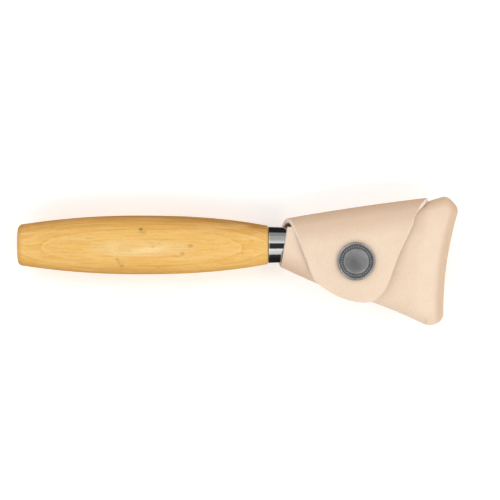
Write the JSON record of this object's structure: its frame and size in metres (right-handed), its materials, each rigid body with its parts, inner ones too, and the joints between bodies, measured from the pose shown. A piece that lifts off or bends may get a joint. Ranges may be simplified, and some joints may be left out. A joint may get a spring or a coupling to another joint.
{
  "type": "hook carving knife",
  "caption": "Hook carving knife with an oiled wooden barrel handle and steel ferrule, its blade held in a wrap-round leather sheath closed by a press stud.",
  "frame": {"origin": "centre of the handle's flat butt face, on the handle's axis", "axes": "+X along the knife from the butt to the hook, +Y across the sheath towards its upper fold, +Z out of the sheath's front, through the snap cap"},
  "size_m": [0.1812, 0.053, 0.0258],
  "materials": {
    "oiled_birch": "oiled, satin",
    "ferrule_steel": "polished",
    "blade_steel": "ground",
    "natural_leather": "natural vegetable-tanned, matt",
    "antique_nickel": "antiqued, satin",
    "snap_nickel": "nickel plated"
  },
  "bodies": {
    "knife": {"handle": "oiled_birch", "ferrule": "ferrule_steel", "blade": "blade_steel"},
    "sheath": {"front_panel": "natural_leather", "bottom_fold": "natural_leather", "back_panel": "natural_leather", "end_wing": "natural_leather", "top_tab": "natural_leather", "flap_fold": "natural_leather", "snap_stud": "snap_nickel", "snap_post": "snap_nickel"},
    "flap": {"flap": "natural_leather", "snap_cap": "antique_nickel", "snap_socket": "snap_nickel", "snap_spring": "snap_nickel"}
  },
  "joints": [
    {"name": "sheath_slide", "type": "slide", "parent": "knife", "child": "sheath", "axis": [0, -1, 0], "range_m": [0, 0.08], "deforming": ["flap_fold"]},
    {"name": "flap_hinge", "type": "hinge", "parent": "sheath", "child": "flap", "pos_m": [0.11048, 0.01144, 0.0014], "axis": [-0.9894, -0.1451, 0], "range_deg": [0, 180], "deforming": ["flap_fold"]}
  ]
}
